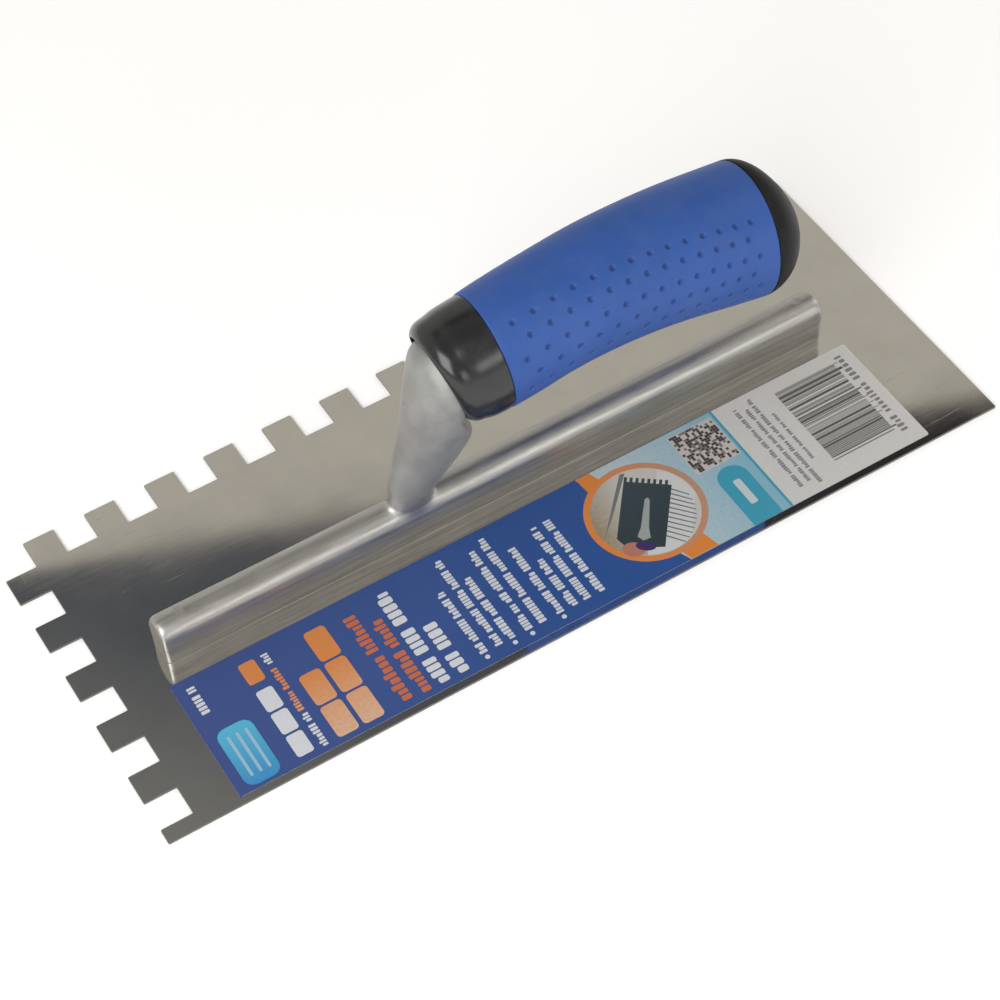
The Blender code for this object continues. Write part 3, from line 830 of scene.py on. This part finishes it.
def print_picture():
    """Round panel: a dark toothed comb over a pale ground, inside an orange ring."""
    s_mid, t_mid = PICTURE
    low, high = box_mm("label")
    width = high[1] - low[1]
    ring = Ink(2)
    ring.disc(s_mid, t_mid, PICTURE_R)
    arms = Ink(1.8)
    arms.area([(135.7, 0.05), (140.3, 0.05), (142.5, 6.0), (136.5, 9.0)])
    arms.area([(146.5, 37.0), (155.5, 34.5), (157.6, width - 0.05), (148.3, width - 0.05)])
    arms.make("label_ring_arms", print_paint("arm_ink", (0.66, 0.21, 0.035)))
    ring.make("label_ring", print_paint("ring_ink", (0.66, 0.21, 0.035), (0.40, 0.26, 0.19),
                                        "X", low[0] + 140, low[0] + 170))
    ground = Ink(2.4)
    ground.disc(s_mid, t_mid, PICTURE_R - 2.0)
    ground.make("label_picture_ground", print_paint("ground_ink", (0.28, 0.22, 0.13), (0.52, 0.50, 0.46),
                                                    "X", low[0] + 131, low[0] + 146))
    along, across = Vector((0.62, -0.785)).normalized(), Vector((0.785, 0.62)).normalized()

    def spot(a, b):
        return (s_mid + along.x * a + across.x * b, t_mid + along.y * a + across.y * b)

    plaster = Ink(2.5)
    reach = PICTURE_R - 2.3
    plaster.area([spot(math.sqrt(reach**2 - b * b), b) for b in np.linspace(2.0, 14.0, 9)]
                 + [spot(-math.sqrt(reach**2 - b * b), b) for b in np.linspace(14.0, 2.0, 9)])
    plaster.make("label_picture_plaster", print_paint("plaster_ink", (0.57, 0.57, 0.56)))
    lines = Ink(2.7)
    lines.area([spot(13.0, -9.0), spot(13.8, -7.5), spot(-3.0, -9.5), spot(-11.0, -11.0)])
    for k in range(11):
        a = 9.0 - 1.75 * k
        b_end = math.sqrt(max(0.0, reach**2 - a * a)) - 1.0
        lines.area([spot(a, 6.0), spot(a + 0.55, 6.0), spot(a - 1.4, max(b_end, 7.0)),
                    spot(a - 1.8, max(b_end, 7.0))])
    lines.make("label_picture_lines", print_paint("picture_line_ink", (0.16, 0.16, 0.17)))
    hand = Ink(2.95)
    hand.area([spot(-14.3 + 2.6 * math.cos(t), -2.2 + 3.4 * math.sin(t)) for t in even_turns(24)])
    hand.make("label_picture_glove", print_paint("glove_ink", (0.42, 0.17, 0.12)))
    cuff = Ink(3.0)
    cuff.area([spot(-12.7 + 1.7 * math.cos(t), 1.2 + 3.0 * math.sin(t)) for t in even_turns(24)])
    cuff.make("label_picture_cuff", print_paint("cuff_ink", (0.045, 0.025, 0.11)))
    dark = Ink(2.85)
    outline = [spot(-12.5, 6.8), spot(-14.0, -4.0), spot(-11.0, -7.5), spot(10.5, -7.5)]
    teeth = 8
    pitch = 14.0 / teeth
    for k in range(teeth):
        b = -7.5 + pitch * k
        outline += [spot(12.3, b), spot(12.3, b + pitch * 0.5), spot(10.6, b + pitch * 0.5),
                    spot(10.6, b + pitch)]
    outline.append(spot(10.5, 6.8))
    dark.area(outline)
    dark.make("label_picture_comb", print_paint("comb_ink", (0.020, 0.034, 0.038), (0.040, 0.060, 0.066),
                                                "Y", low[1], high[1]))
    streak = Ink(3)
    streak.area([spot(4.5, -0.7), spot(5.2, 0.2), spot(4.3, 0.8), spot(-6.0, 1.5), spot(-9.5, 2.3),
                 spot(-10.8, 0.3), spot(-9.5, -1.6), spot(-6.0, -0.9)])
    streak.make("label_picture_streak", print_paint("streak_ink", (0.30, 0.33, 0.30)))


def print_codes():
    """Random speckle block, a block of stripes and small dark dashes on the plain end."""
    rng = random.Random(21)
    pad = Ink(2)
    pad.bar(166.9, 182.7, 1.8, 18.5, 0.4)
    pad.make("label_speckle_ground", print_paint("speckle_ground_ink", (0.50, 0.47, 0.44)))
    speckle = {name: Ink(2.6) for name in ("dark", "brown")}
    cells = 17
    step_s, step_t = 15.0 / cells, 16.0 / cells
    for i in range(cells):
        for j in range(cells):
            name = rng.choice(("dark", "dark", "brown", "none", "none"))
            if name != "none":
                s, t = 167.3 + step_s * i, 2.1 + step_t * j
                speckle[name].bar(s, s + step_s * 0.94, t, t + step_t * 0.94)
    speckle["dark"].make("label_speckle_dark", print_paint("speckle_dark_ink", (0.045, 0.040, 0.040)))
    speckle["brown"].make("label_speckle_brown", print_paint("speckle_brown_ink", (0.20, 0.15, 0.12)))
    small = Ink(1)
    for s_low, s_high, t_low, t_high in ((189.5, 190.9, 3.7, 38.7), (192.7, 194.0, 5.3, 38.1),
                                         (195.3, 196.7, 2.4, 40.3), (198.7, 199.8, 11.0, 31.7)):
        small.dashes(s_low, s_high, t_low, t_high, 0.9, rng, 0.86)
    small.dashes(227.4, 229.8, 3.0, 38.0, 2.0, rng, 0.66)
    small.make("label_small_dashes", print_paint("small_ink", (0.20, 0.19, 0.22)))
    stripes = Ink(1)
    t = 4.9
    while t < 36.2:
        thick = rng.choice((0.22, 0.22, 0.35, 0.5, 0.9))
        long = 1.6 if rng.random() < 0.2 else 0.0
        stripes.bar(204.1, 226.0 + long, t, t + thick)
        t += thick + rng.choice((0.18, 0.25, 0.25, 0.4, 0.75))
    stripes.make("label_stripes", print_paint("stripe_ink", (0.085, 0.08, 0.075)))


# ------------------------------------------------------------------ stage
CAMERA_PLACE = (-0.2327, -0.4301, 0.6092)    # metres
CAMERA_AZIMUTH = 28.37       # degrees from +Y towards +X that the camera looks along
CAMERA_DOWN = 51.61          # degrees below level
CAMERA_ROLL = -3.92
LENS = 94.5                  # on a sensor 36 wide
CARD_HEIGHT = 700.0
CARD_ON_BLADE = ((-190, 68.5), (190, -70.5), (190, -190), (-190, -100))   # where it is mirrored
FLOOR_HALF = 4000.0


def make_camera():
    data = bpy.data.cameras.new("camera")
    data.lens, data.sensor_width = LENS, 36.0
    data.clip_start, data.clip_end = 0.01, 20.0
    camera = bpy.data.objects.new("camera", data)
    bpy.context.scene.collection.objects.link(camera)
    look = Matrix.Rotation(math.radians(-CAMERA_AZIMUTH), 4, "Z")
    look @= Matrix.Rotation(math.radians(90 - CAMERA_DOWN), 4, "X")
    look @= Matrix.Rotation(math.radians(CAMERA_ROLL), 4, "Z")
    camera.matrix_world = Matrix.Translation(CAMERA_PLACE) @ look
    bpy.context.scene.camera = camera


def softbox(name, direction, distance, size, power, colour=(1.0, 1.0, 1.0)):
    """A rectangular light that faces the handle from this direction; metres and watts."""
    data = bpy.data.lights.new(name, "AREA")
    data.shape, data.size, data.size_y = "RECTANGLE", *size
    data.energy, data.color = power, colour
    light = bpy.data.objects.new(name, data)
    bpy.context.scene.collection.objects.link(light)
    away = Vector(direction).normalized()
    light.location = Vector((0.0, 0.0, 0.03)) + away * distance
    light.rotation_euler = away.to_track_quat("Z", "Y").to_euler()
    return light


def keep_off(light, obj):
    """The light leaves this object alone, so that a polished face does not mirror it."""
    excluded = bpy.data.collections.new(light.name + "_excluded")
    excluded.objects.link(obj)
    excluded.collection_objects[0].light_linking.link_state = "EXCLUDE"
    light.light_linking.receiver_collection = excluded


def make_world():
    """Soft warm wall behind the tool, a darker room behind the camera, pale near the floor."""
    world = bpy.data.worlds.new("studio")
    bpy.context.scene.world = world
    world.use_nodes = True
    tree = world.node_tree
    split = tree.nodes.new("ShaderNodeSeparateXYZ")
    tree.links.new(tree.nodes.new("ShaderNodeTexCoord").outputs["Generated"], split.inputs[0])

    def ramp(socket, stops):
        made = tree.nodes.new("ShaderNodeValToRGB")
        tree.links.new(socket, made.inputs["Fac"])
        elements = made.color_ramp.elements
        elements[0].position, elements[0].color = stops[0][0], (*stops[0][1], 1)
        elements[1].position, elements[1].color = stops[-1][0], (*stops[-1][1], 1)
        for position, colour in stops[1:-1]:
            elements.new(position).color = (*colour, 1)
        return made.outputs["Color"]

    wall = ramp(split.outputs["Z"], ((0.0, (0.55, 0.55, 0.55)), (0.35, (0.60, 0.59, 0.57)),
                                     (0.65, (0.61, 0.585, 0.53)), (0.86, (0.60, 0.57, 0.505)),
                                     (1.0, (0.34, 0.33, 0.31))))
    room = ramp(split.outputs["Z"], ((0.0, (0.60, 0.60, 0.60)), (0.35, (0.34, 0.34, 0.34)),
                                     (0.62, (0.40, 0.385, 0.36)), (0.78, (0.50, 0.475, 0.44)),
                                     (1.0, (0.27, 0.265, 0.25))))
    side = tree.nodes.new("ShaderNodeMapRange")
    side.inputs["From Min"].default_value, side.inputs["From Max"].default_value = -0.15, 0.45
    tree.links.new(split.outputs["Y"], side.inputs["Value"])
    blend = tree.nodes.new("ShaderNodeMix")
    blend.data_type = "RGBA"
    tree.links.new(side.outputs["Result"], blend.inputs[0])
    tree.links.new(room, blend.inputs[6])
    tree.links.new(wall, blend.inputs[7])
    background = tree.nodes["Background"]
    tree.links.new(blend.outputs[2], background.inputs["Color"])
    background.inputs["Strength"].default_value = 1.0


def make_stage():
    """A plain pale floor, and the card above it."""
    floor = Paint("floor_paint", (0.90, 0.90, 0.90), Roughness=0.9)
    cloud = floor.noise(0.004, 2.0)
    floor.set("Base Color", floor.mix(cloud, (0.90, 0.90, 0.90), (0.93, 0.93, 0.93)))
    floor.shader.inputs["Specular IOR Level"].default_value = 0.0
    floor.set("Emission Color", (1.0, 1.0, 1.0, 1.0))
    floor.set("Emission Strength", 0.20)
    corners = [(x * FLOOR_HALF, y * FLOOR_HALF, -0.05) for x, y in ((-1, -1), (1, -1), (1, 1), (-1, 1))]
    add_mesh("floor", corners, [(0, 1, 2, 3)], floor.mat)
    make_card()


def make_card():
    """A dark card overhead that only reflections see. From the camera the blade mirrors it at
    its left end and along its near edge, which are dark in the photo too."""
    paint = Paint("dark_card", (0.0, 0.0, 0.0), Roughness=1.0)
    paint.shader.inputs["Specular IOR Level"].default_value = 0.0
    slant = paint.math("ADD", paint.axis("X"), paint.math("MULTIPLY", paint.axis("Y"), 0.8))
    shade = paint.mix(paint.band(slant, 0.25, 0.44), (0.28, 0.28, 0.27), (0.098, 0.107, 0.125))
    shade = paint.mix(paint.band(slant, 0.52, 0.75), shade, (0.022, 0.022, 0.026))
    paint.set("Emission Color", shade)
    paint.set("Emission Strength", 1.0)
    card = add_mesh("flag", [above_blade(x, y) for x, y in CARD_ON_BLADE], [(0, 1, 2, 3)], paint.mat)
    for flag in ("visible_camera", "visible_diffuse", "visible_shadow", "visible_transmission"):
        setattr(card, flag, False)


def above_blade(x, y):
    """The place at CARD_HEIGHT that the camera sees mirrored in the blade at x, y."""
    eye = np.array(CAMERA_PLACE) / MM * (1, 1, -1)
    spot = np.array((x, y, box_mm("blade")[1][2]))
    share = (CARD_HEIGHT - eye[2]) / (spot[2] - eye[2])
    return tuple(eye + (spot - eye) * share)


def main():
    bpy.context.scene.view_settings.view_transform = "Standard"
    make_camera()
    handle = Handle()
    blade = make_blade(steel_paint())
    make_rivets(rivet_paint())
    make_shank(casting_paint())
    make_collar(handle, black_paint("gloss_black", (0.010, 0.010, 0.011), 0.20, 0.002, 0.4, 0.7))
    make_grip(handle, grip_paint())
    make_cap(handle, black_paint("satin_black", (0.010, 0.010, 0.011), 0.48, 0.012, 0.5, 0.14))
    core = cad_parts["handle_core"]
    core.data.materials.clear()
    core.data.materials.append(black_paint("core_black", (0.02, 0.02, 0.022), 0.45, 0.015, 0.4))
    make_label()
    make_stage()
    make_world()
    strip = softbox("low_strip", (0.31, -1.03, 0.36), 1.13, (0.72, 0.28), 1.8, (1.0, 0.99, 0.97))
    keep_off(strip, blade)
    softbox("left_window", (-0.68, -0.47, 0.60), 1.2, (0.80, 0.96), 10.0)
    softbox("right_fill", (0.95, -0.25, 0.60), 1.5, (0.9, 0.7), 2.8)
    back = softbox("back_fill", (-0.25, 0.9, 0.45), 1.6, (1.3, 0.5), 3.0)
    back.visible_glossy = False          # the blade would mirror it as a white patch


main()
bpy.context.view_layer.update()
